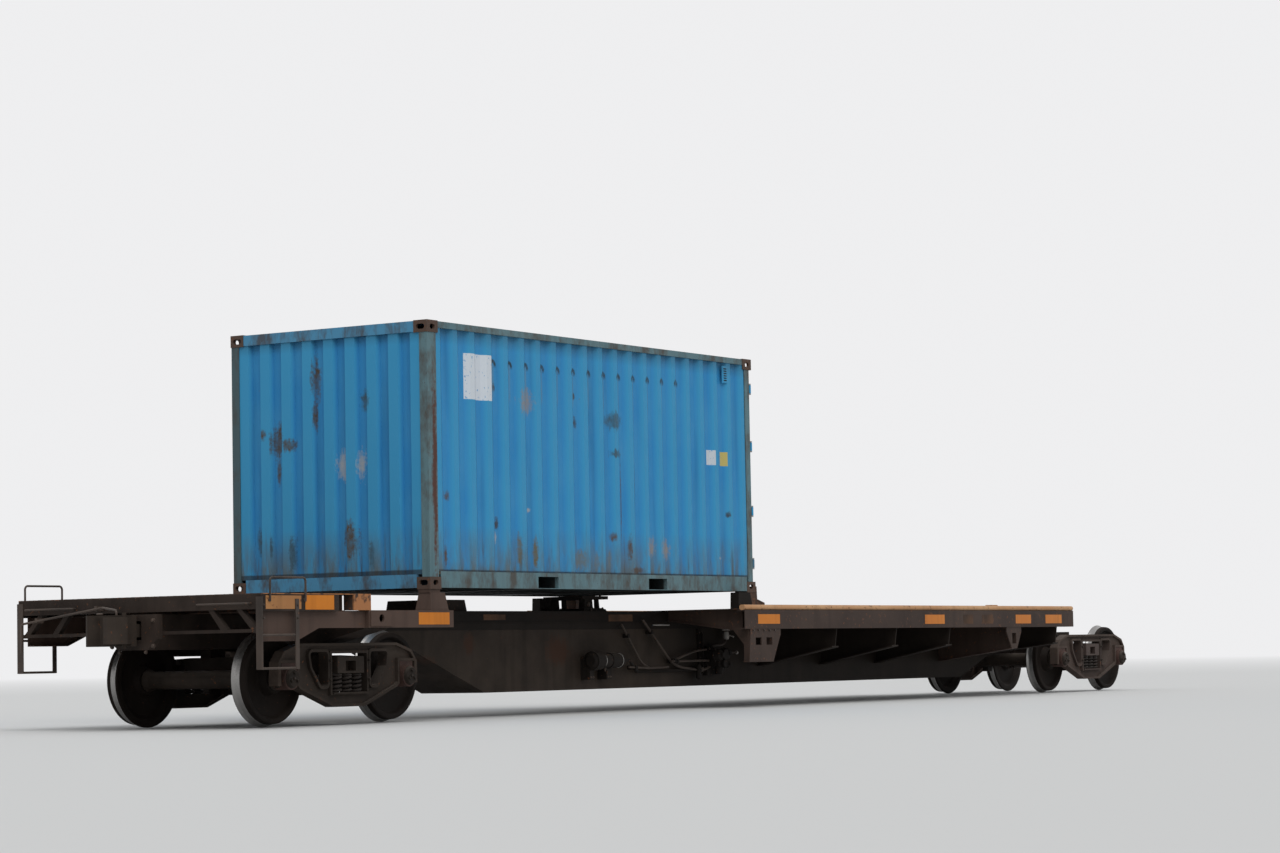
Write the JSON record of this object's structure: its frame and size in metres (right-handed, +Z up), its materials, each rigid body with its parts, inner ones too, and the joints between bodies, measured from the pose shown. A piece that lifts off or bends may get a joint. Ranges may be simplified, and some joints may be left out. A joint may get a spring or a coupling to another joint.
{
  "type": "articulated spine car unit with freight container",
  "caption": "Deep fish-belly spine car unit on two swivelling trucks, with an end platform, a trailer-wheel platform and a corrugated box container with hinged doors.",
  "frame": {"origin": "centre of the bounding box at the lowest level of the wheel flanges", "axes": "+X along the car to its articulated end, +Y across to the left seen from the coupler end looking along +X, +Z up"},
  "size_m": [19.7572, 2.944, 3.8564],
  "materials": {
    "car_brown": "weathered dark brown paint with road grime",
    "spine_brown": "faded brown paint with dust and rust streaks",
    "faded_orange": "sun-faded orange paint, chalky",
    "rust_orange": "worn orange-red paint over rust",
    "deck_steel": "scuffed dark deck plate",
    "fitting_dark": "grimy black-brown fittings",
    "rod_steel": "worn rods with bare steel showing",
    "cast_steel": "cast steel with brown brake dust",
    "wheel_steel": "machined tread over brown rim",
    "bearing_red": "reddish bearing paint with grease",
    "spring_steel": "oiled spring steel",
    "container_blue": "chalked blue paint with rust spots",
    "container_frame": "grey-blue frame paint with rust runs",
    "casting_rust": "rusty corner casting",
    "plywood": "marine plywood floor",
    "galvanised": "dull zinc-coated rods"
  },
  "bodies": {
    "car": {"spine_webs": "spine_brown", "spine_plates": "spine_brown", "draft_sill": "car_brown", "coupler": "cast_steel", "uncoupling_lever": "rod_steel", "end_frame": "car_brown", "end_deck": "deck_steel", "side_sills": "spine_brown", "body_bolster": "car_brown", "front_bearer": "car_brown", "front_pedestals": "spine_brown", "platform_deck": "deck_steel", "platform_sills": "spine_brown", "platform_curbs": "rust_orange", "cross_bearers": "spine_brown", "bracket_20ft": "spine_brown", "bracket_40ft": "spine_brown", "rear_pedestals": "rust_orange", "deck_guides": "spine_brown", "stowed_pedestals": "rust_orange", "sill_steps": "rod_steel", "grab_irons": "rod_steel", "trailer_hitch": "fitting_dark", "spine_saddle": "car_brown", "air_reservoir": "fitting_dark", "control_valve": "fitting_dark", "brake_pipes": "fitting_dark", "articulation_connector": "cast_steel", "articulation_jaws": "cast_steel", "container_castings": "casting_rust", "corner_posts": "container_frame", "bottom_frame": "container_frame", "container_floor": "plywood", "top_rails": "container_frame", "side_walls": "container_blue", "front_wall": "container_blue", "container_roof": "container_blue", "door_fittings": "galvanised"},
    "door_right": {"door_leaf_right": "container_blue", "locking_bars_right": "galvanised"},
    "door_left": {"door_leaf_left": "container_blue", "locking_bars_left": "galvanised"},
    "truck_a": {"truck_a_side_frames": "cast_steel", "truck_a_bolster": "cast_steel", "truck_a_springs": "spring_steel", "truck_a_bearings": "bearing_red", "truck_a_brake_beams": "fitting_dark"},
    "truck_b": {"truck_b_side_frames": "cast_steel", "truck_b_bolster": "cast_steel", "truck_b_springs": "spring_steel", "truck_b_bearings": "bearing_red", "truck_b_brake_beams": "fitting_dark"},
    "wheelset_1": {"wheels_1": "wheel_steel", "axle_1": "cast_steel"},
    "wheelset_2": {"wheels_2": "wheel_steel", "axle_2": "cast_steel"},
    "wheelset_3": {"wheels_3": "wheel_steel", "axle_3": "cast_steel"},
    "wheelset_4": {"wheels_4": "wheel_steel", "axle_4": "cast_steel"}
  },
  "joints": [
    {"name": "truck_a_swivel", "type": "hinge", "parent": "car", "child": "truck_a", "pos_m": [-7.60875, 0, 0.6794], "axis": [0, 0, 1], "range_deg": [-10, 10]},
    {"name": "truck_b_swivel", "type": "hinge", "parent": "car", "child": "truck_b", "pos_m": [8.54525, 0, 0.6794], "axis": [0, 0, 1], "range_deg": [-10, 10]},
    {"name": "wheelset_1_roll", "type": "hinge", "parent": "truck_a", "child": "wheelset_1", "pos_m": [-8.49775, 0, 0.4445], "axis": [0, 1, 0], "continuous": true},
    {"name": "wheelset_2_roll", "type": "hinge", "parent": "truck_a", "child": "wheelset_2", "pos_m": [-6.71975, 0, 0.4445], "axis": [0, 1, 0], "continuous": true},
    {"name": "wheelset_3_roll", "type": "hinge", "parent": "truck_b", "child": "wheelset_3", "pos_m": [7.65625, 0, 0.4445], "axis": [0, 1, 0], "continuous": true},
    {"name": "wheelset_4_roll", "type": "hinge", "parent": "truck_b", "child": "wheelset_4", "pos_m": [9.43425, 0, 0.4445], "axis": [0, 1, 0], "continuous": true},
    {"name": "door_right_swing", "type": "hinge", "parent": "car", "child": "door_right", "pos_m": [-0.55975, -1.205, 2.5609], "axis": [0, 0, -1], "range_deg": [0, 270]},
    {"name": "door_left_swing", "type": "hinge", "parent": "car", "child": "door_left", "pos_m": [-0.55975, 1.205, 2.5609], "axis": [0, 0, 1], "range_deg": [0, 270]}
  ]
}
